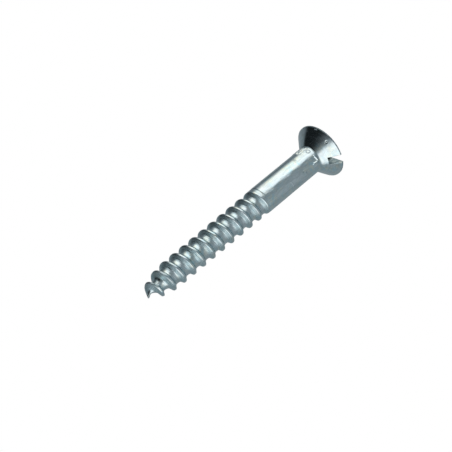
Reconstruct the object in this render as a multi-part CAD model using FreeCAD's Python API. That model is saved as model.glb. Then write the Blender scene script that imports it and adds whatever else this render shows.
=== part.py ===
"""Slotted countersunk wood screw, 6 x 50 mm, with a right-hand cut thread.

The screw lies along X.  The origin is the centre of the flat top of the head,
+X points out of the head towards the screwdriver, -X points along the shank to
the point, and +Y runs along the driver slot.  Lengths are in millimetres.

The real screw is one piece of steel.  It is written as four closed solids that
meet face to face: the head, the plain shank, the threaded part and the point.
"""
import FreeCAD, Part
import math
import os

Vector = FreeCAD.Vector

# Overall sizes
SCREW_LENGTH = 49.8
HEAD_DIAMETER = 12.0
SHANK_DIAMETER = 5.95

# Head: a 90 degree countersink under a narrow upright rim
COUNTERSINK_ANGLE = 90.0
RIM_HEIGHT = 0.25
RIM_EDGE_RADIUS = 0.10
NECK_FILLET_RADIUS = 0.60

# Driver slot, sawn straight across the head
SLOT_WIDTH = 1.70
SLOT_DEPTH = 2.20
SLOT_EDGE_CHAMFER = 0.10

# Thread, measured from the top of the head
PITCH = 2.60
THREAD_START = 18.80
POINT_START = 44.20
CREST_LAND = 0.34
FLANK_RUN = 0.52
FLANK_DEPTH_SHARE = 0.88
GROOVE_START_DEGREES = 28.9
RUN_OUT_TURNS = 0.72

# Crest and core radii at distances from the top of the head
CREST_RADII = ((0.0, 2.94), (18.0, 2.94), (36.0, 2.90), (44.0, 2.86), (45.6, 2.62), (47.2, 2.26),
               (48.5, 1.75), (49.2, 1.40), (49.8, 1.10), (54.0, 0.90))
CORE_RADII = ((0.0, 2.20), (18.0, 2.20), (36.0, 2.18), (43.4, 2.12), (46.2, 1.52), (48.0, 0.80),
              (49.0, 0.34), (49.6, 0.12), (49.9, 0.06), (54.0, 0.06))

# The thread's blade ends this many turns after the groove starts, at the tip
BLADE_TURNS = 11.23
BLADE_END_TURNS = 0.12
BLADE_THINS_FROM_TURN = 9.6
BLADE_THIN_SHARE = 0.90

# The last part of the point is bent a little sideways into a hook
TIP_BEND = 0.50
TIP_BEND_START = 48.60
TIP_BEND_END = 50.00
TIP_BEND_DEGREES = 228.9

# Helical surfaces: cubic spans per turn, and plain turns beyond each end
SPANS_PER_TURN = 24
LEAD_TURNS = 2
TAIL_TURNS = 2
SEWING_TOLERANCE = 1e-4


def smooth_step(value):
    """Rise smoothly from 0 to 1 while value goes from 0 to 1."""
    share = min(max(value, 0.0), 1.0)
    return share * share * (3.0 - 2.0 * share)


def radius_from(table, distance):
    """Interpolate a radius smoothly in a table of (distance, radius) pairs."""
    last = len(table) - 2
    index = 0
    while index < last and distance > table[index + 1][0]:
        index += 1
    (start, low), (end, high) = table[index], table[index + 1]

    def slope(i):
        if i == 0 or i == len(table) - 1:
            return 0.0
        before = (table[i][1] - table[i - 1][1]) / (table[i][0] - table[i - 1][0])
        after = (table[i + 1][1] - table[i][1]) / (table[i + 1][0] - table[i][0])
        if before * after <= 0.0:
            return 0.0
        return 2.0 * before * after / (before + after)

    span = end - start
    t = min(max((distance - start) / span, 0.0), 1.0)
    rise = high - low
    curve = t * t * (3.0 - 2.0 * t) * rise
    ends = span * (t * (1.0 - t) ** 2 * slope(index) - t * t * (1.0 - t) * slope(index + 1))
    return low + curve + ends


# ---------------------------------------------------------------- thread form

def groove_centre(turn):
    """Distance of the groove's centre line from the top of the head."""
    return THREAD_START + PITCH * turn


def blade_fade(turn):
    """Rise from 0 to 1 where the crest that follows the groove ends at the tip."""
    return smooth_step((turn - BLADE_TURNS) / BLADE_END_TURNS)


def tooth_width(turn):
    """Share of the full tooth width left at a crest: the blade thins at the tip."""
    thinning = smooth_step((turn - BLADE_THINS_FROM_TURN) / (BLADE_TURNS - BLADE_THINS_FROM_TURN))
    return 1.0 - (1.0 - BLADE_THIN_SHARE) * thinning


def profile_point(edge, turn):
    """One corner of the groove's profile as (distance, radius).

    The corners are numbered from the head side: 0 crest edge, 1 foot of the
    flank, 2 control point under the root, 3 foot of the other flank, 4 crest edge.
    """
    before = tooth_width(turn - 1.0)
    after = tooth_width(turn)
    half_pitch = PITCH / 2.0
    half_crest = CREST_LAND / 2.0
    half_base = half_crest + FLANK_RUN
    offset = (half_crest * before - half_pitch, half_base * before - half_pitch, 0.0,
              half_pitch - half_base * after, half_pitch - half_crest * after)[edge]
    depth_share = (0.0, FLANK_DEPTH_SHARE, 2.0 - FLANK_DEPTH_SHARE, FLANK_DEPTH_SHARE, 0.0)[edge]
    distance = groove_centre(turn) + offset
    crest = radius_from(CREST_RADII, distance)
    core = radius_from(CORE_RADII, distance)
    cut = crest - (crest - core) * depth_share * smooth_step(turn / RUN_OUT_TURNS)
    fades = (blade_fade(turn - 1.0), blade_fade(turn))
    fade = (fades[0], fades[0], (fades[0] + fades[1]) / 2.0, fades[1], fades[1])[edge]
    return distance, cut + (core - cut) * fade


def centre_point(distance):
    """The middle of the core at a distance from the top of the head."""
    share = smooth_step((distance - TIP_BEND_START) / (TIP_BEND_END - TIP_BEND_START))
    angle = math.radians(TIP_BEND_DEGREES)
    return Vector(-distance, TIP_BEND * share * math.cos(angle), TIP_BEND * share * math.sin(angle))


def profile_position(edge, turn):
    """The same corner as a point in space, turning right-handed about X."""
    distance, radius = profile_point(edge, turn)
    angle = math.radians(GROOVE_START_DEGREES) - 2.0 * math.pi * turn
    return centre_point(distance) + Vector(0.0, radius * math.cos(angle), radius * math.sin(angle))


def helical_poles(position, first_turn):
    """Poles of a cubic B-spline that follows position(turn) for one turn."""
    step = 1.0 / SPANS_PER_TURN
    nudge = step * 1e-3
    poles = []
    for index in range(SPANS_PER_TURN + 1):
        turn = first_turn + index * step
        point = position(turn)
        tangent = (position(turn + nudge) - position(turn - nudge)) * (step / (6.0 * nudge))
        if index == 0:
            poles += [point, point + tangent]
        elif index == SPANS_PER_TURN:
            poles += [point - tangent, point]
        else:
            poles += [point - tangent, point + tangent]
    return poles


def helical_face(rows):
    """A face one turn long through two rows of poles, or three for a curved one."""
    degree = len(rows) - 1
    poles = [list(column) for column in zip(*rows)]
    inner_knots = SPANS_PER_TURN - 1
    surface = Part.BSplineSurface()
    surface.buildFromPolesMultsKnots(
        poles,
        [4] + [2] * inner_knots + [4],
        [degree + 1, degree + 1],
        [float(knot) for knot in range(SPANS_PER_TURN + 1)],
        [0.0, 1.0],
        False, False, 3, degree)
    return surface.toShape()


def end_faces(end_turn):
    """Close one end of the helical skin with a helicoid and a flat radial face."""
    def outer(turn):
        return profile_position(0, turn)

    def centre(turn):
        return centre_point(profile_point(0, turn)[0])

    helicoid = helical_face([helical_poles(centre, end_turn), helical_poles(outer, end_turn)])
    corners = [profile_position(edge, end_turn) for edge in (0, 1, 3, 4)]
    corners.append(outer(end_turn + 1.0))
    outline = corners + [centre(end_turn + 1.0), centre(end_turn)]
    radial = Part.Face(Part.makePolygon(outline + [outline[0]]))
    return [helicoid, radial]


def threaded_blank():
    """The thread from a plain lead-in to past the tip, as one solid."""
    first = -LEAD_TURNS
    last = math.ceil(BLADE_TURNS) + TAIL_TURNS
    faces = []
    for turn in range(first, last):
        rows = [helical_poles(lambda t, e=edge: profile_position(e, t), turn) for edge in range(5)]
        next_crest = helical_poles(lambda t: profile_position(0, t + 1.0), turn)
        faces.append(helical_face([rows[0], rows[1]]))
        faces.append(helical_face([rows[1], rows[2], rows[3]]))
        faces.append(helical_face([rows[3], rows[4]]))
        faces.append(helical_face([rows[4], next_crest]))
    faces += end_faces(first) + end_faces(last)
    shell = Part.makeShell(faces)
    shell.sewShape(SEWING_TOLERANCE)
    return Part.makeSolid(shell)


def slab(solid, near, far):
    """The part of a solid between two distances from the top of the head."""
    width = 4.0 * SHANK_DIAMETER
    box = Part.makeBox(far - near, width, width, Vector(-far, -width / 2.0, -width / 2.0))
    return solid.common(box).Solids[0]


# ------------------------------------------------------------ head and shank

def turned(outline):
    """Revolve a closed outline of edges, drawn in the XY plane, about X."""
    face = Part.Face(Part.Wire(outline))
    return face.revolve(Vector(0, 0, 0), Vector(1, 0, 0), 360.0)


def line(start, end):
    """A straight edge between two (x, y) points."""
    return Part.makeLine(Vector(start[0], start[1], 0), Vector(end[0], end[1], 0))


def arc(start, middle, end):
    """A round edge through three (x, y) points."""
    points = [Vector(x, y, 0) for x, y in (start, middle, end)]
    return Part.Arc(*points).toShape()


def neck():
    """Distances and radii where the cone's fillet meets the cone and the shank."""
    shank_radius = SHANK_DIAMETER / 2.0
    slope = math.radians(COUNTERSINK_ANGLE / 2.0)
    cone_end = RIM_HEIGHT + (HEAD_DIAMETER / 2.0 - shank_radius) / math.tan(slope)
    tangent = NECK_FILLET_RADIUS * math.tan(slope / 2.0)
    on_cone = (-(cone_end - tangent * math.cos(slope)), shank_radius + tangent * math.sin(slope))
    on_shank = (-(cone_end + tangent), shank_radius)
    centre = (on_shank[0], shank_radius + NECK_FILLET_RADIUS)
    middle = (centre[0] + NECK_FILLET_RADIUS * math.sin(slope / 2.0),
              centre[1] - NECK_FILLET_RADIUS * math.cos(slope / 2.0))
    return on_cone, middle, on_shank


def head():
    """Countersunk head with its driver slot, down to the end of the neck fillet."""
    radius = HEAD_DIAMETER / 2.0
    on_cone, middle, on_shank = neck()
    edge = RIM_EDGE_RADIUS
    diagonal = edge * (1.0 - math.sqrt(0.5))
    top_inner = (0.0, radius - edge)
    top_outer = (-edge, radius)
    rim_low = (-RIM_HEIGHT, radius)
    outline = [
        line((0.0, 0.0), top_inner),
        arc(top_inner, (-diagonal, radius - diagonal), top_outer),
        line(top_outer, rim_low),
        line(rim_low, on_cone),
        arc(on_cone, middle, on_shank),
        line(on_shank, (on_shank[0], 0.0)),
        line((on_shank[0], 0.0), (0.0, 0.0)),
    ]
    return turned(outline).cut(slot_tool()).Solids[0]


def slot_tool():
    """The saw's path across the head, a little wider at the very top."""
    half = SLOT_WIDTH / 2.0
    above = 1.0
    reach = HEAD_DIAMETER
    chamfer = SLOT_EDGE_CHAMFER
    points = [
        (-SLOT_DEPTH, -half),
        (-SLOT_DEPTH, half),
        (-chamfer, half),
        (above, half + chamfer + above),
        (above, -half - chamfer - above),
        (-chamfer, -half),
    ]
    corners = [Vector(x, -reach, z) for x, z in points]
    face = Part.Face(Part.makePolygon(corners + [corners[0]]))
    return face.extrude(Vector(0, 2.0 * reach, 0))


def shank():
    """The plain shank, from the neck fillet to the small shoulder before the thread."""
    radius = SHANK_DIAMETER / 2.0
    start = neck()[2][0]
    shoulder = radius - radius_from(CREST_RADII, THREAD_START)
    outline = [
        line((start, 0.0), (start, radius)),
        line((start, radius), (-THREAD_START + shoulder, radius)),
        line((-THREAD_START + shoulder, radius), (-THREAD_START, radius - shoulder)),
        line((-THREAD_START, radius - shoulder), (-THREAD_START, 0.0)),
        line((-THREAD_START, 0.0), (start, 0.0)),
    ]
    return turned(outline)


# --------------------------------------------------------------------- output

def main():
    """Write one STEP file for each named region of the screw."""
    os.makedirs("parts", exist_ok=True)
    blank = threaded_blank()
    shapes = {
        "head": head(),
        "shank": shank(),
        "thread": slab(blank, THREAD_START, POINT_START),
        "point": slab(blank, POINT_START, SCREW_LENGTH),
    }
    for name, shape in shapes.items():
        print(name, shape.ShapeType, len(shape.Solids), shape.isValid(), round(shape.Volume, 3))
        shape.exportStep("parts/" + name + ".step")


main()
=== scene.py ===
"""Looks of a slotted countersunk wood screw in bright zinc plating.

The screw lies along X with its point towards -X.  Its driver slot runs along Y,
and the origin is the centre of the head's flat top.  Shapes are worked out in
millimetres and written in metres.  Distances are measured from the top of the
head towards the point, and angles about X from +Y towards +Z.
"""
import bmesh
import bpy
import math
import numpy as np
from mathutils import Matrix, Vector, noise


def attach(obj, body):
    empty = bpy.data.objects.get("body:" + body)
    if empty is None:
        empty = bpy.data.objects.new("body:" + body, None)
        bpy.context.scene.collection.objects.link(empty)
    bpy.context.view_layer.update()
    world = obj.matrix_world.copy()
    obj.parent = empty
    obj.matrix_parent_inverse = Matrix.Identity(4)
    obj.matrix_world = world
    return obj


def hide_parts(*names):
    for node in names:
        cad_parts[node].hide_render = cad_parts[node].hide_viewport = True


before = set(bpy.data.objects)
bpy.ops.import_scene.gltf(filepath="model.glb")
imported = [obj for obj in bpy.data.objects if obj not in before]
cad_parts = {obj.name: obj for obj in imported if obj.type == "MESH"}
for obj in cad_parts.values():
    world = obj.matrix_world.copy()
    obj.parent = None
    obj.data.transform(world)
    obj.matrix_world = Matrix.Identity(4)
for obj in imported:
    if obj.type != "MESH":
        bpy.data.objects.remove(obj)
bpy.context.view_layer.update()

MM = 0.001
TAU = 2.0 * math.pi
GRAIN_UV = "grain"
BARENESS_AND_NECK_SHADE = "bareness_and_neck_shade"
DULLNESS = "dullness"
SLOT_SHADE_LAYER = "painted_slot_shade"
PALENESS = "paleness"

# Overall sizes, as in the CAD part
SCREW_LENGTH = 49.8
HEAD_RADIUS = 6.0
SHANK_RADIUS = 2.975
RIM_HEIGHT = 0.25
NECK_FILLET_RADIUS = 0.60
SLOT_HALF_WIDTH = 0.85
SLOT_DEPTH = 2.20

# Thread
PITCH = 2.60
THREAD_START = 18.80
POINT_START = 44.20
CREST_LAND = 0.34
FLANK_RUN = 0.52
FLANK_DEPTH_SHARE = 0.88
GROOVE_START_DEGREES = 28.9
RUN_OUT_TURNS = 0.72
BLADE_TURNS = 11.23
BLADE_END_TURNS = 0.12
BLADE_THINS_FROM_TURN = 9.6
BLADE_THIN_SHARE = 0.90
TIP_BEND = 0.50
TIP_BEND_START = 48.60
TIP_BEND_END = 50.00
TIP_BEND_DEGREES = 228.9
# Crest and core radii at distances from the top of the head
CREST_RADII = ((0.0, 2.94), (18.0, 2.94), (36.0, 2.90), (44.0, 2.86), (45.6, 2.62), (47.2, 2.26),
               (48.5, 1.75), (49.2, 1.40), (49.8, 1.10), (54.0, 0.90))
CORE_RADII = ((0.0, 2.20), (18.0, 2.20), (36.0, 2.18), (43.4, 2.12), (46.2, 1.52), (48.0, 0.80),
              (49.0, 0.34), (49.6, 0.12), (49.9, 0.06), (54.0, 0.06))

# Camera: its direction from the screw, its roll and how far it stands
VIEW_AZIMUTH = -33.32
VIEW_ELEVATION = 35.99
VIEW_ROLL = -18.42
VIEW_DISTANCE = 207.82
VIEW_AIM = (-27.962, 0.304, 0.340)
VIEW_LENS = 84.85


# ------------------------------------------------------------------ small maths

def smooth(value):
    """Rise smoothly from 0 to 1 while value goes from 0 to 1."""
    share = np.clip(value, 0.0, 1.0)
    return share * share * (3.0 - 2.0 * share)


def radius_from(table, distance):
    """Interpolate radii smoothly in a table of (distance, radius) pairs."""
    at, radii = np.array(table).T
    steps = np.diff(radii) / np.diff(at)
    slopes = np.zeros(len(at))
    same_way = steps[:-1] * steps[1:] > 0.0
    sums = np.where(same_way, steps[:-1] + steps[1:], 1.0)
    slopes[1:-1] = np.where(same_way, 2.0 * steps[:-1] * steps[1:] / sums, 0.0)
    index = np.clip(np.searchsorted(at, distance) - 1, 0, len(at) - 2)
    span = at[index + 1] - at[index]
    t = np.clip((distance - at[index]) / span, 0.0, 1.0)
    rise = (radii[index + 1] - radii[index]) * t * t * (3.0 - 2.0 * t)
    ends = span * (t * (1.0 - t) ** 2 * slopes[index] - t * t * (1.0 - t) * slopes[index + 1])
    return radii[index] + rise + ends


def places(x, y, z):
    """Points from coordinates that are spread over the same grid."""
    return np.stack(np.broadcast_arrays(x, y, z), axis=-1)


def about_axis(distance, radius, angle):
    """Points at a distance from the head's top, a radius and an angle about X."""
    return places(-distance, radius * np.cos(angle), radius * np.sin(angle))


def ripple(points, sizes, seed):
    """Smooth noise between about -1 and 1 whose features have that size along X, Y and Z."""
    scaled = points / np.array(sizes) + seed
    return np.fromiter((noise.noise(Vector(p)) for p in scaled), float, len(scaled))


def stroke(points, path, half_width):
    """1 along a path of (distance, radius, degrees), falling evenly to 0 at half_width."""
    distance, radius, degrees = np.array(path, float).T
    corners = about_axis(distance, radius, np.radians(degrees))
    nearest = np.full(len(points), np.inf)
    for start, end in zip(corners[:-1], corners[1:]):
        way = end - start
        share = np.clip((points - start) @ way / (way @ way), 0.0, 1.0)
        gap = np.linalg.norm(points - start - share[:, None] * way, axis=1)
        nearest = np.minimum(nearest, gap)
    return np.clip(1.0 - nearest / half_width, 0.0, 1.0)


def far_from(points, centre):
    """Distance of every point from a centre given as (distance, radius, degrees)."""
    distance, radius, degrees = centre
    return np.linalg.norm(points - about_axis(distance, radius, math.radians(degrees)), axis=1)


# ------------------------------------------------------------------ mesh building

def grid_mesh(points, uv=None, weld_rows=0):
    """A mesh of quads over a grid of points in millimetres, with UVs in millimetres.

    With weld_rows, the last column of a row is the first column that many rows
    further on, as on a helix.
    """
    rows, columns = points.shape[:2]
    ids = np.arange(rows * columns).reshape(rows, columns)
    if weld_rows:
        ids[:-weld_rows, -1] = ids[weld_rows:, 0]
        ids = ids[:-weld_rows]
    corners = [(0, 0), (0, 1), (1, 1), (1, 0)]
    height, width = len(ids) - 1, columns - 1
    quads = np.stack([ids[i:i + height, j:j + width] for i, j in corners], axis=-1)
    used, faces = np.unique(quads.reshape(-1), return_inverse=True)
    mesh = bpy.data.meshes.new("skin")
    vertices = (points.reshape(-1, 3)[used] * MM).tolist()
    mesh.from_pydata(vertices, [], faces.reshape(-1, 4).tolist())
    if uv is not None:
        spread = np.stack([uv[i:i + height, j:j + width] for i, j in corners], axis=2)
        mesh.uv_layers.new(name=GRAIN_UV).data.foreach_set("uv", spread.reshape(-1))
    return mesh


def open_skin(*meshes, weld=0.0):
    """One bmesh of several meshes, with touching vertices joined."""
    skin = bmesh.new()
    for mesh in meshes:
        skin.from_mesh(mesh)
        bpy.data.meshes.remove(mesh)
    if weld:
        bmesh.ops.remove_doubles(skin, verts=skin.verts[:], dist=weld * MM)
    return skin


def displace(skin, height):
    """Move every vertex along its normal by height(points), in millimetres."""
    skin.normal_update()
    points = np.array([vertex.co for vertex in skin.verts]) / MM
    for vertex, lift in zip(skin.verts, height(points)):
        vertex.co += vertex.normal * (lift * MM)


def keep_normals(skin):
    """Store each vertex's normal, so that a later cut leaves the shading alone."""
    skin.normal_update()
    layer = skin.verts.layers.float_vector.new("skin_normal")
    for vertex in skin.verts:
        vertex[layer] = vertex.normal


def paint(skin, layer_name, value):
    """Store value(points) at every vertex, for the material to read."""
    layer = skin.verts.layers.float.new(layer_name)
    points = np.array([vertex.co for vertex in skin.verts]) / MM
    for vertex, amount in zip(skin.verts, value(points)):
        vertex[layer] = amount


def close_end(skin, distance, outward):
    """Cut the skin square to X at a distance, and close it with a flat fan."""
    cap = skin.faces.layers.int.get("cap") or skin.faces.layers.int.new("cap")
    everything = skin.verts[:] + skin.edges[:] + skin.faces[:]
    cut = bmesh.ops.bisect_plane(
        skin, geom=everything, plane_co=(-distance * MM, 0, 0), plane_no=(outward, 0, 0),
        clear_outer=True)
    rim = [e for e in cut["geom_cut"] if isinstance(e, bmesh.types.BMEdge) and e.is_boundary]
    centre = skin.verts.new((-distance * MM, 0, 0))
    for edge in rim:
        loop = edge.link_loops[0]
        face = skin.faces.new((loop.link_loop_next.vert, loop.vert, centre))
        face[cap] = 1


def finished_piece(name, skin, material, node):
    """Turn a closed skin into a piece that rides on the screw in place of a CAD node."""
    skin.normal_update()
    normal = skin.verts.layers.float_vector["skin_normal"]
    cap = skin.faces.layers.int["cap"]
    normals = []
    for face in skin.faces:
        face.smooth = True
        for corner in face.verts:
            normals.append(face.normal.copy() if face[cap] else corner[normal].normalized())
    skin.verts.layers.float_vector.remove(normal)
    skin.faces.layers.int.remove(skin.faces.layers.int["cap"])
    mesh = bpy.data.meshes.new(name)
    skin.to_mesh(mesh)
    skin.free()
    mesh.normals_split_custom_set(normals)
    mesh.materials.append(material)
    piece = bpy.data.objects.new(name, mesh)
    bpy.context.scene.collection.objects.link(piece)
    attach(piece, "root")
    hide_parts(node)


# ------------------------------------------------------------------ thread and point

STEPS_PER_TURN = 120
FIRST_TURN = -1.5
LAST_TURN = 13.5
CREST_ROUNDING = 0.07
FOOT_ROUNDING = 0.17
SAMPLE_TURN = 5.0
STREAK_HEIGHT = 0.020
STREAK_LENGTH = 2.6
STREAK_WIDTH = 0.30
STREAK_FADE = 0.25
STREAKS_END_BEFORE_TIP = 3.0


def blade_fade(turn):
    """Rise from 0 to 1 where the crest that follows the groove ends at the tip."""
    return smooth((turn - BLADE_TURNS) / BLADE_END_TURNS)


def tooth_width(turn):
    """Share of the full tooth width left at a crest: the blade thins at the tip."""
    thinning = smooth((turn - BLADE_THINS_FROM_TURN) / (BLADE_TURNS - BLADE_THINS_FROM_TURN))
    return 1.0 - (1.0 - BLADE_THIN_SHARE) * thinning


def groove_corner(edge, turn):
    """A corner of the groove's profile as (distance, radius), numbered from the head side."""
    before = tooth_width(turn - 1.0)
    after = tooth_width(turn)
    half_pitch = PITCH / 2.0
    half_crest = CREST_LAND / 2.0
    half_base = half_crest + FLANK_RUN
    offset = (half_crest * before - half_pitch, half_base * before - half_pitch, 0.0 * turn,
              half_pitch - half_base * after, half_pitch - half_crest * after)[edge]
    depth_share = (0.0, FLANK_DEPTH_SHARE, 2.0 - FLANK_DEPTH_SHARE, FLANK_DEPTH_SHARE, 0.0)[edge]
    distance = THREAD_START + PITCH * turn + offset
    crest = radius_from(CREST_RADII, distance)
    core = radius_from(CORE_RADII, distance)
    cut = crest - (crest - core) * depth_share * smooth(turn / RUN_OUT_TURNS)
    fades = (blade_fade(turn - 1.0), blade_fade(turn))
    fade = (fades[0], fades[0], (fades[0] + fades[1]) / 2.0, fades[1], fades[1])[edge]
    return np.stack([distance, cut + (core - cut) * fade], axis=-1)


def along(start, end, length):
    """The point that far from start towards end."""
    way = end - start
    return start + way * (length / np.linalg.norm(way, axis=-1, keepdims=True))


def rounded_corner(before, corner, after, lengths, count):
    """Points of a curve that rounds a corner, starting and ending at two lengths from it."""
    first = along(corner, before, lengths[0])
    last = along(corner, after, lengths[1])
    points = []
    for t in np.linspace(0.0, 1.0, count):
        points.append(first * (1.0 - t) ** 2 + corner * 2.0 * t * (1.0 - t) + last * t * t)
    return points


def between(first, last, count):
    """Points that divide the way from first to last, both left out."""
    return [first + (last - first) * t for t in np.linspace(0.0, 1.0, count + 2)[1:-1]]


def groove_profile(turn):
    """The groove's rounded profile from one crest's middle to the next, for every turn."""
    corners = [groove_corner(edge, turn) for edge in range(5)]
    next_edge = groove_corner(0, turn + 1.0)
    last_edge = groove_corner(4, turn - 1.0)
    start = (last_edge + corners[0]) / 2.0
    end = (corners[4] + next_edge) / 2.0
    root_length = np.linalg.norm(corners[2] - corners[1], axis=-1, keepdims=True) - FOOT_ROUNDING
    crest_lengths = (CREST_ROUNDING, CREST_ROUNDING)
    foot_lengths = (FOOT_ROUNDING, FOOT_ROUNDING)
    crest_in = rounded_corner(start, corners[0], corners[1], crest_lengths, 5)
    foot_in = rounded_corner(corners[0], corners[1], corners[2], foot_lengths, 5)
    root = rounded_corner(corners[1], corners[2], corners[3], (root_length, root_length), 9)[1:-1]
    foot_out = rounded_corner(corners[2], corners[3], corners[4], foot_lengths, 5)
    crest_out = rounded_corner(corners[3], corners[4], end, crest_lengths, 5)
    points = [start] + crest_in + between(crest_in[-1], foot_in[0], 4) + foot_in + root
    points += foot_out + between(foot_out[-1], crest_out[0], 4) + crest_out + [end]
    return np.stack(points, axis=1)


def tip_bend(distance):
    """How far the point's centre has moved sideways: a grid of vectors."""
    share = smooth((distance - TIP_BEND_START) / (TIP_BEND_END - TIP_BEND_START))
    angle = math.radians(TIP_BEND_DEGREES)
    return places(0.0, TIP_BEND * share * math.cos(angle), TIP_BEND * share * math.sin(angle))


def streaks(along_helix, across):
    """Ridges that the thread cutter left along the groove, fading out at its two crests."""
    scaled = places(along_helix / STREAK_LENGTH, across / STREAK_WIDTH, 0.0)
    height = [noise.noise(Vector(p)) for p in scaled.reshape(-1, 3)]
    edges = smooth(across / STREAK_FADE) * smooth((across[-1] - across) / STREAK_FADE)
    return STREAK_HEIGHT * edges * np.reshape(height, scaled.shape[:2])


def thread_skin():
    """The threaded surface from before its start to past the tip."""
    rows = round((LAST_TURN - FIRST_TURN) * STEPS_PER_TURN) + 1
    turn = np.linspace(FIRST_TURN, LAST_TURN, rows)
    profile = groove_profile(turn)
    angle = math.radians(GROOVE_START_DEGREES) - TAU * turn[:, None]
    sample = profile[round((SAMPLE_TURN - FIRST_TURN) * STEPS_PER_TURN)]
    across = np.concatenate([[0.0], np.cumsum(np.linalg.norm(np.diff(sample, axis=0), axis=1))])
    along_helix = (turn * TAU * SHANK_RADIUS)[:, None]
    distance, radius = profile[..., 0], profile[..., 1]
    cut = smooth(turn[:, None]) * smooth((SCREW_LENGTH - distance) / STREAKS_END_BEFORE_TIP)
    radius = radius + streaks(along_helix, across) * cut
    points = about_axis(distance, radius, angle) + tip_bend(distance)
    uv = np.stack(np.broadcast_arrays(along_helix, across[None, :]), axis=-1)
    return open_skin(grid_mesh(points, uv, weld_rows=STEPS_PER_TURN))


# ------------------------------------------------------------------ shank

SHANK_COLUMNS = 288
SHANK_ROW = 0.05
SHOULDER = 0.035
SHOULDER_WIDTH = 0.60
STEP_GROOVE_DEPTH = 0.075
STEP_GROOVE_WIDTH = 0.15
GROOVE_SIDE_DEGREES = 75.0
GROOVE_REACH_DEGREES = 70.0
GROOVE_FADE_DEGREES = 25.0
SHANK_SKIN_START = 3.2
SHANK_SKIN_OVERLAP = 0.3


def shank_skin():
    """The plain shank between the neck and the thread, with a small groove at its end."""
    start, end = SHANK_SKIN_START, THREAD_START + SHANK_SKIN_OVERLAP
    rows = round((end - start) / SHANK_ROW) + 1
    distance = np.linspace(start, end, rows)[:, None]
    angle = np.linspace(0.0, TAU, SHANK_COLUMNS + 1)[None, :]
    groove_at = THREAD_START - STEP_GROOVE_WIDTH
    shoulder = SHOULDER * smooth((distance - THREAD_START + SHOULDER_WIDTH) / SHOULDER_WIDTH)
    groove = STEP_GROOVE_DEPTH * smooth(1.0 - np.abs(distance - groove_at) / STEP_GROOVE_WIDTH)
    aside = np.degrees(np.arccos(np.cos(angle - math.radians(GROOVE_SIDE_DEGREES))))
    upper_side = smooth((GROOVE_REACH_DEGREES - aside) / GROOVE_FADE_DEGREES)
    points = about_axis(distance, SHANK_RADIUS - shoulder - groove * upper_side, angle)
    return open_skin(grid_mesh(points), weld=1e-4)


# ------------------------------------------------------------------ head

HEAD_COLUMNS = 220
SLOT_END_COLUMNS = 22
CONE_RINGS = 42
FILLET_RINGS = 13
TOP_ROWS = 24
CONE_SLOPE = math.radians(45.0)
SHARP_ANGLE = math.radians(30)
EDGE_BEVEL = 0.06
EDGE_BEVEL_STEPS = 3


def cone_end():
    """Distance at which the bare cone would meet the shank."""
    return RIM_HEIGHT + HEAD_RADIUS - SHANK_RADIUS


def head_outline():
    """Rings of the head's skin as (distance, radius), from the top edge to below the neck."""
    tangent = NECK_FILLET_RADIUS * math.tan(CONE_SLOPE / 2.0)
    fillet_start = cone_end() - tangent * math.cos(CONE_SLOPE)
    above = np.linspace(RIM_HEIGHT, SLOT_DEPTH, CONE_RINGS)
    below = np.linspace(SLOT_DEPTH, fillet_start, CONE_RINGS // 2)[1:]
    cone = np.concatenate([above, below])
    rings = [(0.0, HEAD_RADIUS)] + [(d, HEAD_RADIUS + RIM_HEIGHT - d) for d in cone]
    centre = (cone_end() + tangent, SHANK_RADIUS + NECK_FILLET_RADIUS)
    for t in np.linspace(CONE_SLOPE, 0.0, FILLET_RINGS)[1:]:
        rings.append((centre[0] - NECK_FILLET_RADIUS * math.sin(t),
                      centre[1] - NECK_FILLET_RADIUS * math.cos(t)))
    rings += [(centre[0] + extra, SHANK_RADIUS) for extra in (0.1, 0.2, 0.4)]
    return np.array(rings)


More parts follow.
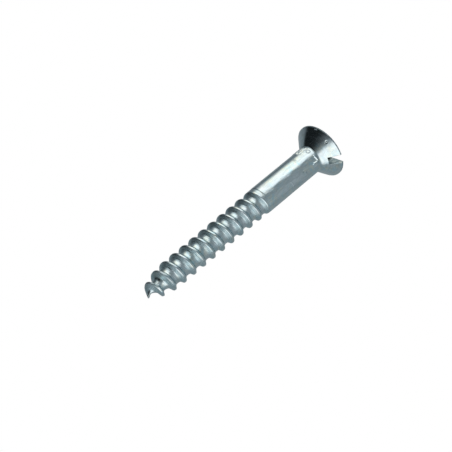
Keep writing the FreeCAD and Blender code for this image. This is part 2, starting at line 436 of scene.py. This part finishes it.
def head_skin():
    """The countersunk head with its slot, open below the neck."""
    rings = head_outline()
    last_cut = int(np.argmin(np.abs(rings[:, 0] - SLOT_DEPTH)))
    cut, whole = rings[:last_cut + 1], rings[last_cut:]
    wall = np.arcsin(SLOT_HALF_WIDTH / cut[:, 1])[:, None]
    share = np.linspace(0.0, 1.0, HEAD_COLUMNS + 1)[None, :]
    half_skin = about_axis(cut[:, :1], cut[:, 1:], wall + (math.pi - 2.0 * wall) * share)
    across = (half_skin[0, :, 1] / half_skin[0, 0, 1])[None, :]

    reach = np.sqrt(cut[:, 1] ** 2 - SLOT_HALF_WIDTH ** 2)[:, None]
    wall_sheet = places(-cut[:, :1], reach * across, SLOT_HALF_WIDTH)
    rows = np.linspace(0.0, 1.0, TOP_ROWS)[:, None, None]
    half_top = wall_sheet[0] + (half_skin[0] - wall_sheet[0]) * rows

    end_angle = np.linspace(-wall[-1, 0], wall[-1, 0], SLOT_END_COLUMNS + 1)
    floor_y = np.cos(end_angle)[:, None] * cut[-1, 1] * across
    slot_floor = places(-SLOT_DEPTH, floor_y, np.sin(end_angle)[:, None] * cut[-1, 1])

    half = wall[-1, 0] + (math.pi - 2.0 * wall[-1, 0]) * share[0]
    angles = np.concatenate([end_angle, half[1:], math.pi + end_angle[1:], math.pi + half[1:]])
    neck = about_axis(whole[:, :1], whole[:, 1:], angles[None, :])

    flip = np.array([1.0, 1.0, -1.0])
    mirrored = [sheet * flip for sheet in (half_skin, wall_sheet, half_top)]
    sheets = [half_skin, mirrored[0], wall_sheet, mirrored[1], half_top, mirrored[2],
              slot_floor, neck]
    skin = open_skin(*[grid_mesh(sheet) for sheet in sheets], weld=1e-3)
    bmesh.ops.dissolve_degenerate(skin, edges=skin.edges[:], dist=1e-4 * MM)
    bmesh.ops.recalc_face_normals(skin, faces=skin.faces[:])
    inner_edges = [edge for edge in skin.edges if len(edge.link_faces) == 2]
    sharp = [edge for edge in inner_edges if edge.calc_face_angle() > SHARP_ANGLE]
    bmesh.ops.bevel(skin, geom=sharp, offset=EDGE_BEVEL * MM, offset_type="OFFSET",
                    affect="EDGES", segments=EDGE_BEVEL_STEPS, profile=0.5, clamp_overlap=True)
    return skin


# ------------------------------------------------------------------ wear, marks, painted shade and a painted highlight

# Marks are placed by (distance, radius, degrees).
# Ring-shaped dents: their centre, the ring's radius and its depth
RING_MARKS = (
    ((4.22, SHANK_RADIUS, 108.5), 0.42, 0.090),
    ((1.00, 5.25, 132.0), 0.20, 0.050),
    ((11.4, SHANK_RADIUS, 300.0), 0.35, 0.060),
)
RING_HALF_WIDTH = 0.17
# The raised line that an edge of the heading die left beside the neck
DIE_EDGE = (
    (4.02, SHANK_RADIUS, 139.0), (3.88, SHANK_RADIUS, 150.5), (3.84, SHANK_RADIUS, 161.5),
    (4.40, SHANK_RADIUS, 163.0), (5.10, SHANK_RADIUS, 161.0),
)
DIE_EDGE_HEIGHT = 0.205
DIE_EDGE_HALF_WIDTH = 0.255
# Painted shade in a line along the neck's crease, which stops short of the die's edge
NECK_SHADE_PATH = (
    (3.30, 3.15, 134.0), (3.45, 3.05, 149.0), (3.60, 2.99, 159.0), (3.85, SHANK_RADIUS, 172.0),
)
NECK_SHADE_STRENGTH = 0.8
NECK_SHADE_HALF_WIDTH = 0.40
NECK_SHADE_GAP = 0.33
# Raised scratches, as paths
SCRATCHES = (
    ((11.95, SHANK_RADIUS, 159.5), (11.70, SHANK_RADIUS, 173.5), (11.75, SHANK_RADIUS, 188.5)),
    ((9.40, SHANK_RADIUS, 150.5), (10.6, SHANK_RADIUS, 152.0)),
    ((13.2, SHANK_RADIUS, 21.5), (11.4, SHANK_RADIUS, 35.5)),
    ((6.2, SHANK_RADIUS, 263.5), (8.9, SHANK_RADIUS, 251.5)),
    ((15.1, SHANK_RADIUS, 311.5), (13.9, SHANK_RADIUS, 323.5)),
)
SCRATCH_HEIGHT = 0.035
SCRATCH_HALF_WIDTH = 0.15
# Pits: their centre and radius
PITS = (
    ((3.75, 3.0, 85.5), 0.18),
    ((7.5, SHANK_RADIUS, 171.5), 0.22),
    ((8.15, SHANK_RADIUS, 158.5), 0.18),
    ((4.1, SHANK_RADIUS, 172.0), 0.15),
    ((1.28, 4.97, 132.5), 0.16),
    ((12.6, SHANK_RADIUS, 233.5), 0.18),
    ((2.1, 4.15, 41.5), 0.15),
    ((14.2, SHANK_RADIUS, 148.0), 0.14),
)
PIT_DEPTH = 0.05
# Thinly plated spots: their centre and radius
BARE_SPOTS = (
    ((7.9, SHANK_RADIUS, 99.5), 0.75),
    ((7.5, SHANK_RADIUS, 171.5), 0.40),
    ((8.3, SHANK_RADIUS, 160.0), 0.35),
    ((15.8, SHANK_RADIUS, 62.0), 0.60),
    ((10.4, SHANK_RADIUS, 286.0), 0.60),
)
BARE_SPOT_STRENGTH = 0.8
SLOT_BARENESS = 0.75
# Painted shade in the slot's corner: its centre and radius
SLOT_SHADE_CENTRE = (0.75, 2.55, 199.5)
SLOT_SHADE_RADIUS = 0.95
# Nicks at the cone's edge, as paths
CONE_NICKS = (
    ((0.43, 5.82, 93.0), (0.36, 5.89, 99.0)),
    ((0.50, 5.75, 223.5), (0.62, 5.63, 227.5)),
)
NICK_DEPTH = 0.05
NICK_HALF_WIDTH = 0.14
# The hammered patch beside the neck: where it lies, and its pleats
COLLAR_START = 3.45
COLLAR_END = 6.15
COLLAR_ANGLES = (46.0, 99.0)
PLEAT_WIDTH = 0.60
PLEAT_HEIGHT = 0.15
PLEAT_RISE_SHARE = 0.25
# Unevenness of the metal: its height and the size of its features along X, Y and Z
BROAD_WAVES = (0.012, (2.6, 1.1, 1.1))
FINE_WAVES = (0.004, (0.7, 0.45, 0.45))
UNEVEN_WAVES = (0.035, (1.7, 0.55, 0.55))
HAMMERED_WAVES = (0.050, (0.50, 0.38, 0.38))
SLOT_WAVES = (0.016, (0.9, 0.7, 0.7))
# The less even side of the shank: its middle, its half width and where it starts
UNEVEN_SIDE_DEGREES = 140.0
UNEVEN_HALF_WIDTH_DEGREES = 28.0
UNEVEN_START = 5.0
UNEVEN_FADE = 1.5
SLOT_EDGE_FADE = 0.3
TOP_FADE = 0.3
RIM_WEAR = 0.008
RIM_WIDTH = 0.05
SLOT_MARGIN = 0.02


def degrees_about_axis(points):
    """Angle of every point about X, from +Y towards +Z."""
    return np.degrees(np.arctan2(points[:, 2], points[:, 1]))


def collar(points):
    """1 on the hammered patch that the heading die left beside the neck, and 0 elsewhere."""
    distance, degrees = -points[:, 0], degrees_about_axis(points)
    near, far = COLLAR_ANGLES
    sides = smooth((degrees - near + 6.0) / 6.0) * smooth((far + 3.0 - degrees) / 3.0)
    edge = COLLAR_END - 1.3 * smooth((degrees - 86.0) / 20.0)
    return sides * smooth((edge - distance) / 0.20) * smooth((distance - COLLAR_START) / 0.3)


def in_slot(points):
    """1 on the walls and the floor of the driver slot, and 0 elsewhere."""
    between_walls = np.abs(points[:, 2]) < SLOT_HALF_WIDTH + SLOT_MARGIN
    return (between_walls & (-points[:, 0] < SLOT_DEPTH + SLOT_MARGIN)).astype(float)


def slot_wall(points):
    """1 on the walls of the driver slot, falling softly to 0 at their edges."""
    depth = -points[:, 0]
    to_cone = HEAD_RADIUS + RIM_HEIGHT - depth - np.hypot(points[:, 1], points[:, 2])
    edges = smooth(depth / SLOT_EDGE_FADE) * smooth((SLOT_DEPTH - depth) / SLOT_EDGE_FADE)
    return in_slot(points) * (edges * smooth(to_cone / SLOT_EDGE_FADE))


def bareness_and_neck_shade(points):
    """How grey the metal is: 0 is bright plating, and 1 is thin plating or bared steel; the line
    along the neck is painted shade.
    """
    off_die_edge = 1.0 - smooth(4.0 * stroke(points, DIE_EDGE, NECK_SHADE_GAP))
    # Painted shade along the neck's crease
    neck_shade = NECK_SHADE_STRENGTH * stroke(points, NECK_SHADE_PATH, NECK_SHADE_HALF_WIDTH) * off_die_edge
    bare_and_shaded = np.maximum(SLOT_BARENESS * in_slot(points), neck_shade)
    for centre, radius in BARE_SPOTS:
        ragged = far_from(points, centre) / radius + 0.4 * ripple(points, (0.4, 0.25, 0.25), 41.0)
        bare_and_shaded = np.maximum(bare_and_shaded, BARE_SPOT_STRENGTH * smooth(1.0 - ragged))
    return bare_and_shaded


def painted_slot_shade(points):
    """How dark the painted shade is in the slot's corner."""
    ragged = far_from(points, SLOT_SHADE_CENTRE) / SLOT_SHADE_RADIUS
    ragged += 0.3 * ripple(points, (0.5, 0.5, 0.3), 11.0)
    return in_slot(points) * smooth((1.0 - ragged) / 0.7)


def dullness(points):
    """How rough the surface is: 0 is polished, and 1 is hammered or sawn."""
    return np.maximum(0.5 * bareness_and_neck_shade(points), 0.5 * collar(points))


def paleness(points):
    """How pale the painted highlight is on the hammered metal beside the neck."""
    return 0.4 * collar(points) * smooth(0.75 + 1.5 * ripple(points, (0.6, 0.4, 0.4), 7.0))


def waves(points, height_and_sizes, seed):
    """Unevenness with a height and feature sizes, in millimetres."""
    height, sizes = height_and_sizes
    return height * ripple(points, sizes, seed)


def pleats(points):
    """Folds around the shank that rise steeply on one side and fall slowly on the other."""
    around = np.radians(degrees_about_axis(points)) * SHANK_RADIUS / PLEAT_WIDTH
    around += 0.4 * ripple(points, (0.8, 0.5, 0.5), 23.0)
    share = around - np.floor(around)
    fold = np.minimum((1.0 - share) / (1.0 - PLEAT_RISE_SHARE), share / PLEAT_RISE_SHARE)
    return PLEAT_HEIGHT * (fold - 0.6)


def wear(points):
    """How far the real surface stands above the ideal one, in millimetres."""
    lift = waves(points, BROAD_WAVES, 3.0)
    lift += waves(points, FINE_WAVES, 17.0)
    aside = np.abs(degrees_about_axis(points) - UNEVEN_SIDE_DEGREES)
    uneven = smooth(1.0 - aside / UNEVEN_HALF_WIDTH_DEGREES)
    below_neck = smooth((-points[:, 0] - UNEVEN_START) / UNEVEN_FADE)
    lift += uneven * below_neck * waves(points, UNEVEN_WAVES, 53.0)
    lift += collar(points) * (pleats(points) + waves(points, HAMMERED_WAVES, 29.0))
    lift += slot_wall(points) * waves(points, SLOT_WAVES, 61.0)
    for centre, radius, depth in RING_MARKS:
        lift -= depth * smooth(1.0 - np.abs(far_from(points, centre) - radius) / RING_HALF_WIDTH)
    lift += DIE_EDGE_HEIGHT * stroke(points, DIE_EDGE, DIE_EDGE_HALF_WIDTH)
    for path in SCRATCHES:
        lift += SCRATCH_HEIGHT * stroke(points, path, SCRATCH_HALF_WIDTH)
    for path in CONE_NICKS:
        lift -= NICK_DEPTH * stroke(points, path, NICK_HALF_WIDTH)
    for centre, radius in PITS:
        lift -= PIT_DEPTH * smooth(1.0 - far_from(points, centre) / radius)
    lift *= smooth(-points[:, 0] / TOP_FADE)
    at_rim = np.hypot(points[:, 1], points[:, 2]) > HEAD_RADIUS - RIM_WIDTH
    return np.where(at_rim, np.minimum(lift, 0.0) - RIM_WEAR, lift)


# ------------------------------------------------------------------ materials

BLUE_ZINC = (0.58, 0.80, 0.90, 1)
YELLOW_ZINC = (0.86, 0.87, 0.78, 1)
PLAIN_ZINC = (0.75, 0.82, 0.87, 1)
STAINED_ZINC = (0.52, 0.58, 0.60, 1)
SCORED_ZINC = (0.43, 0.50, 0.52, 1)
SPOTTED_ZINC = (0.50, 0.52, 0.50, 1)
# Pale colour of the painted highlight on the hammered patch
COLLAR_HIGHLIGHT_COLOUR = (0.97, 0.99, 0.99, 1)
# Colour of the painted shade on the thread's flank that faces the point
FLANK_SHADE_COLOUR = (0.42, 0.57, 0.62, 1)
# Also the colour of the painted shade along the neck
BARE_STEEL_AND_NECK_SHADE = (0.37, 0.45, 0.48, 1)
# Colour of the painted shade in the slot's corner
SLOT_SHADE_COLOUR = (0.04, 0.05, 0.05, 1)
ORANGE_PEEL_DEPTH = 0.006


class Tree:
    """A short way to add linked nodes to a material's or the world's node tree."""

    def __init__(self, tree):
        self.tree = tree
        tree.nodes.clear()

    def add(self, kind, inputs=(), **settings):
        node = self.tree.nodes.new(kind)
        for name, value in settings.items():
            setattr(node, name, value)
        for key, value in dict(inputs).items():
            if isinstance(value, bpy.types.NodeSocket):
                self.tree.links.new(value, node.inputs[key])
            else:
                node.inputs[key].default_value = value
        return node

    def maths(self, operation, *values):
        return self.add("ShaderNodeMath", enumerate(values), operation=operation).outputs[0]

    def vector(self, operation, *values):
        node = self.add("ShaderNodeVectorMath", enumerate(values), operation=operation)
        return node.outputs["Value" if operation == "DOT_PRODUCT" else "Vector"]

    def ramp(self, value, low, high, to_low=0.0, to_high=1.0):
        """Map value from low..high to to_low..to_high with soft ends."""
        keys = {"Value": value, "From Min": low, "From Max": high,
                "To Min": to_low, "To Max": to_high}
        return self.add("ShaderNodeMapRange", keys, interpolation_type="SMOOTHSTEP").outputs[0]

    def noise(self, vector, scale, detail=3.0, roughness=0.5):
        keys = {"Vector": vector, "Scale": scale, "Detail": detail, "Roughness": roughness}
        return self.add("ShaderNodeTexNoise", keys).outputs["Fac"]

    def blend(self, share, first, second):
        node = self.add("ShaderNodeMix", {0: share, 6: first, 7: second}, data_type="RGBA")
        return node.outputs[2]


def drawn_grain(tree, place):
    """Fine lines along the shank, as drawn wire has."""
    stretched = tree.vector("MULTIPLY", place, (700.0, 5200.0, 5200.0))
    return tree.noise(stretched, 1.0, 3.0, 0.6)


def turned_grain(tree, place):
    """Fine rings about the screw's axis, as turning leaves on the head."""
    x, y, z = [tree.add("ShaderNodeSeparateXYZ", {0: place}).outputs[i] for i in range(3)]
    squares = [tree.maths("MULTIPLY", side, side) for side in (y, z)]
    radius = tree.maths("SQRT", tree.maths("ADD", *squares))
    rings = tree.add("ShaderNodeCombineXYZ", {0: tree.maths("MULTIPLY", x, 7000.0),
                                              1: tree.maths("MULTIPLY", radius, 7000.0)}).outputs[0]
    wander = tree.vector("MULTIPLY", place, (260.0, 260.0, 260.0))
    return tree.noise(tree.vector("ADD", rings, wander), 1.0, 3.0, 0.6)


def cut_grain(tree, place):
    """Streaks along the helix, as the thread cutter leaves them."""
    uv = tree.add("ShaderNodeUVMap", uv_map=GRAIN_UV).outputs[0]
    broad = tree.noise(tree.vector("MULTIPLY", uv, (0.45, 6.0, 0.0)), 1.0, 2.0)
    fine = tree.noise(tree.vector("MULTIPLY", uv, (0.9, 21.0, 0.0)), 1.0, 3.0, 0.6)
    return tree.maths("ADD", tree.maths("MULTIPLY", broad, 0.85), tree.maths("MULTIPLY", fine, 0.15))


def cut_flank(tree):
    """1 in streaks on the thread's flank that faces the point, and 0 elsewhere; there the flank gets
    painted shade and more roughness.
    """
    uv = tree.add("ShaderNodeUVMap", uv_map=GRAIN_UV).outputs[0]
    across = tree.add("ShaderNodeSeparateXYZ", {0: uv}).outputs[1]
    flank = tree.maths("MULTIPLY", tree.ramp(across, 0.24, 0.36),
                       tree.ramp(across, 0.95, 1.25, 1.0, 0.0))
    streaky = tree.noise(tree.vector("MULTIPLY", uv, (0.5, 8.0, 0.0)), 1.0, 3.0, 0.6)
    return tree.maths("MULTIPLY", flank, tree.ramp(streaky, 0.36, 0.62, 1.0, 0.45))


def zinc_plate(name, grain, grain_depth, marking, polish, flank=None):
    """Bright zinc: bluish metal with soft clouding, stains, fine grain, dull places, painted shade
    and a painted highlight.
    """
    material = bpy.data.materials.new(name)
    material.use_nodes = True
    tree = Tree(material.node_tree)
    place = tree.add("ShaderNodeTexCoord").outputs["Object"]
    cloud = tree.noise(place, 420.0, 4.0)
    tint = tree.noise(tree.vector("ADD", place, (0.31, 0.17, 0.05)), 1300.0, 2.0)
    stain = tree.noise(tree.vector("MULTIPLY", place, (500.0, 1500.0, 1500.0)), 1.0, 3.0, 0.6)
    speck = tree.noise(place, 3300.0, 2.0, 0.5)
    marks = grain(tree, place)
    bare_and_shaded, dull, slot_shade, pale = [tree.add("ShaderNodeAttribute", attribute_name=layer).outputs["Fac"]
                              for layer in (BARENESS_AND_NECK_SHADE, DULLNESS, SLOT_SHADE_LAYER, PALENESS)]

    tinted = tree.blend(tree.ramp(tint, 0.28, 0.72), BLUE_ZINC, YELLOW_ZINC)
    colour = tree.blend(tree.ramp(cloud, 0.35, 0.65), tinted, PLAIN_ZINC)
    colour = tree.blend(tree.ramp(stain, 0.42, 0.72, 0.0, 0.5), colour, STAINED_ZINC)
    colour = tree.blend(tree.ramp(marks, 0.35, 0.65, marking, 0.0), colour, SCORED_ZINC)
    spots = tree.ramp(speck, 0.66, 0.74)
    colour = tree.blend(tree.maths("MULTIPLY", spots, 0.5), colour, SPOTTED_ZINC)
    # Thin plating, bared steel and the painted shade along the neck
    colour = tree.blend(bare_and_shaded, colour, BARE_STEEL_AND_NECK_SHADE)
    # Painted highlight: the hammered patch beside the neck is painted pale
    colour = tree.blend(pale, colour, COLLAR_HIGHLIGHT_COLOUR)
    # Painted shade in the slot's corner
    colour = tree.blend(slot_shade, colour, SLOT_SHADE_COLOUR)

    roughness = tree.maths("ADD", tree.ramp(cloud, 0.3, 0.7, polish, polish + 0.06),
                           tree.ramp(marks, 0.3, 0.7, -0.02, 0.05))
    roughness = tree.maths("ADD", roughness, tree.maths("MULTIPLY", spots, 0.15))
    roughness = tree.maths("ADD", roughness, tree.maths("MULTIPLY", dull, 0.40))
    if flank:
        flank_roughness_and_shade = flank(tree)
        # Painted shade on the flank that faces the point, which is also made rougher
        colour = tree.blend(tree.maths("MULTIPLY", flank_roughness_and_shade, 0.80), colour, FLANK_SHADE_COLOUR)
        roughness = tree.maths("ADD", roughness, tree.maths("MULTIPLY", flank_roughness_and_shade, 0.38))
    lines = tree.add("ShaderNodeBump", {
        "Strength": 1.0, "Distance": grain_depth * MM, "Height": marks})
    orange_peel = tree.add("ShaderNodeBump", {
        "Strength": 1.0, "Distance": ORANGE_PEEL_DEPTH * MM, "Height": speck,
        "Normal": lines.outputs[0]})
    # The painted highlight also makes the hammered patch less metallic
    metallic = tree.ramp(pale, 0.0, 1.0, 1.0, 0.25)
    shader = tree.add("ShaderNodeBsdfPrincipled", {
        "Base Color": colour, "Roughness": roughness, "Metallic": metallic,
        "Normal": orange_peel.outputs[0]})
    tree.add("ShaderNodeOutputMaterial", {"Surface": shader.outputs[0]})
    return material


# ------------------------------------------------------------------ studio

def camera_turn():
    """The camera's axes: right, up and backwards."""
    azimuth, elevation = math.radians(VIEW_AZIMUTH), math.radians(VIEW_ELEVATION)
    back = Vector((math.sin(azimuth) * math.cos(elevation),
                   -math.cos(azimuth) * math.cos(elevation), math.sin(elevation)))
    turn = (-back).to_track_quat("-Z", "Y").to_matrix()
    return turn @ Matrix.Rotation(math.radians(VIEW_ROLL), 3, "Z")


def add_camera():
    """The camera on the screw's lower left side, above the point."""
    turn = camera_turn()
    data = bpy.data.cameras.new("camera")
    data.lens = VIEW_LENS
    data.sensor_width = 36.0
    data.clip_start = 0.01
    data.clip_end = 10.0
    camera = bpy.data.objects.new("camera", data)
    place = (Vector(VIEW_AIM) + turn.col[2] * VIEW_DISTANCE) * MM
    camera.matrix_world = Matrix.Translation(place) @ turn.to_4x4()
    bpy.context.scene.collection.objects.link(camera)
    bpy.context.scene.camera = camera


# Cards of light around the screw: their left, right, lower and upper edges as
# degrees to the right of and above the camera's side, how softly each edge fades,
# and their colour.  A later card covers the ones before it.
ROOM = (0.262, 0.303, 0.318, 1)
CARDS = (
    ((-160, -84, 13, 55), (6, 5, 9, 6), (0.11, 0.13, 0.14, 1)),
    ((-57, 75, -62, -15), (5, 34, 9, 36), (0.58, 0.64, 0.66, 1)),
    ((-63, -10, 21, 53), (12, 30, 10, 5), (0.68, 0.73, 0.74, 1)),
    ((-115, -16, -11, 30), (10, 22, 26, 10), (0.009, 0.011, 0.012, 1)),
    ((-22, 31, -57, -20), (3, 26, 6, 10), (1.30, 1.32, 1.30, 1)),
)
# Round cards overhead and below: degrees to the right and up, and the radii at which
# each starts and ends to fade
OVERHEAD = (30, 78)
OVERHEAD_RADII = (8, 40.5)
OVERHEAD_COOL = (1.28, 1.34, 1.34, 1)
OVERHEAD_WARM = (1.36, 1.34, 1.20, 1)
UNDERFOOT = (0, -50)
UNDERFOOT_RADII = (5, 43)
UNDERFOOT_COLOUR = (1.26, 1.28, 1.26, 1)
FLOOR_RADIUS = 90.0


def soft_card(tree, lon, lat, edges, softness):
    """A mask that is 1 inside a box of directions and falls softly to 0 around it."""
    left, right, low, high = edges
    middle = (left + right) / 2.0
    turned = tree.maths("WRAP", lon, middle + 180.0, middle - 180.0)
    sides = [
        tree.ramp(turned, left - softness[0], left + softness[0]),
        tree.ramp(turned, right - softness[1], right + softness[1], 1.0, 0.0),
        tree.ramp(lat, low - softness[2], low + softness[2]),
        tree.ramp(lat, high - softness[3], high + softness[3], 1.0, 0.0),
    ]
    across = tree.maths("MULTIPLY", sides[0], sides[1])
    upright = tree.maths("MULTIPLY", sides[2], sides[3])
    return tree.maths("MULTIPLY", across, upright)


def round_card(tree, direction, place, radii):
    """A mask that is 1 around a place in degrees and falls softly to 0 between two radii."""
    right, up = [math.radians(angle) for angle in place]
    towards = camera_turn() @ Vector((math.cos(up) * math.sin(right), math.sin(up),
                                      math.cos(up) * math.cos(right)))
    inner, outer = [math.cos(math.radians(radius)) for radius in radii]
    return tree.ramp(tree.vector("DOT_PRODUCT", direction, towards[:]), outer, inner)


def add_studio_light():
    """Soft cards of light around the screw, where the camera itself sees plain white."""
    world = bpy.data.worlds.new("studio")
    world.use_nodes = True
    bpy.context.scene.world = world
    tree = Tree(world.node_tree)
    turn = camera_turn()
    direction = tree.add("ShaderNodeTexCoord").outputs["Generated"]
    right, up, front = [tree.vector("DOT_PRODUCT", direction, turn.col[i][:]) for i in range(3)]
    to_degrees = 180.0 / math.pi
    lon = tree.maths("MULTIPLY", tree.maths("ARCTAN2", right, front), to_degrees)
    lat = tree.maths("MULTIPLY", tree.maths("ARCSINE", up), to_degrees)
    colour = ROOM
    for edges, softness, level in CARDS:
        colour = tree.blend(soft_card(tree, lon, lat, edges, softness), colour, level)
    below = round_card(tree, direction, UNDERFOOT, UNDERFOOT_RADII)
    colour = tree.blend(below, colour, UNDERFOOT_COLOUR)
    overhead_colour = tree.blend(tree.ramp(front, -0.1, 0.45), OVERHEAD_WARM, OVERHEAD_COOL)
    above = round_card(tree, direction, OVERHEAD, OVERHEAD_RADII)
    colour = tree.blend(above, colour, overhead_colour)
    lit = tree.add("ShaderNodeBackground", {"Color": colour, "Strength": 1.0})
    white = tree.add("ShaderNodeBackground", {"Color": (1, 1, 1, 1), "Strength": 1.0})
    seen = tree.add("ShaderNodeLightPath").outputs["Is Camera Ray"]
    mixed = tree.add("ShaderNodeMixShader", {0: seen, 1: lit.outputs[0], 2: white.outputs[0]})
    tree.add("ShaderNodeOutputWorld", {"Surface": mixed.outputs[0]})


def add_floor():
    """A plain pale disc under the screw, lit so evenly that it shows no shadow."""
    mesh = bpy.data.meshes.new("floor")
    skin = bmesh.new()
    bmesh.ops.create_circle(skin, cap_ends=True, segments=96, radius=FLOOR_RADIUS * MM)
    skin.to_mesh(mesh)
    skin.free()
    material = bpy.data.materials.new("pale_floor")
    material.use_nodes = True
    tree = Tree(material.node_tree)
    glow = tree.add("ShaderNodeEmission", {"Color": (1, 1, 1, 1), "Strength": 1.0})
    tree.add("ShaderNodeOutputMaterial", {"Surface": glow.outputs[0]})
    mesh.materials.append(material)
    floor = bpy.data.objects.new("floor", mesh)
    floor.location = Vector((VIEW_AIM[0], 0.0, -HEAD_RADIUS)) * MM
    floor.visible_diffuse = False
    floor.visible_glossy = False
    floor.visible_shadow = False
    bpy.context.scene.collection.objects.link(floor)


# ------------------------------------------------------------------ scene

bpy.context.scene.view_settings.view_transform = "Standard"
add_camera()
add_studio_light()
add_floor()

NECK_END = cone_end() + NECK_FILLET_RADIUS * math.tan(CONE_SLOPE / 2.0)
PAINTED = ((BARENESS_AND_NECK_SHADE, bareness_and_neck_shade), (DULLNESS, dullness), (SLOT_SHADE_LAYER, painted_slot_shade), (PALENESS, paleness))
turned_zinc = zinc_plate("zinc_turned", turned_grain, 0.006, 0.35, 0.09)
drawn_zinc = zinc_plate("zinc_drawn", drawn_grain, 0.004, 0.30, 0.09)
cut_zinc = zinc_plate("zinc_cut", cut_grain, 0.035, 0.45, 0.11, cut_flank)
tip_zinc = zinc_plate("zinc_tip", cut_grain, 0.030, 0.45, 0.11, cut_flank)
threads = thread_skin()
# Each node's skin, the distances at which it is cut and closed, and its material
pieces = {
    "head": (head_skin(), None, NECK_END, turned_zinc),
    "shank": (shank_skin(), NECK_END, THREAD_START, drawn_zinc),
    "thread": (threads, THREAD_START, POINT_START, cut_zinc),
    "point": (threads.copy(), POINT_START, SCREW_LENGTH, tip_zinc),
}
for node, (skin, near, far, material) in pieces.items():
    if node != "head":
        bmesh.ops.recalc_face_normals(skin, faces=skin.faces[:])
    displace(skin, wear)
    keep_normals(skin)
    for layer, amount in PAINTED:
        paint(skin, layer, amount)
    for distance, outward in ((near, 1), (far, -1)):
        if distance is not None:
            close_end(skin, distance, outward)
    finished_piece("screw_" + node, skin, material, node)
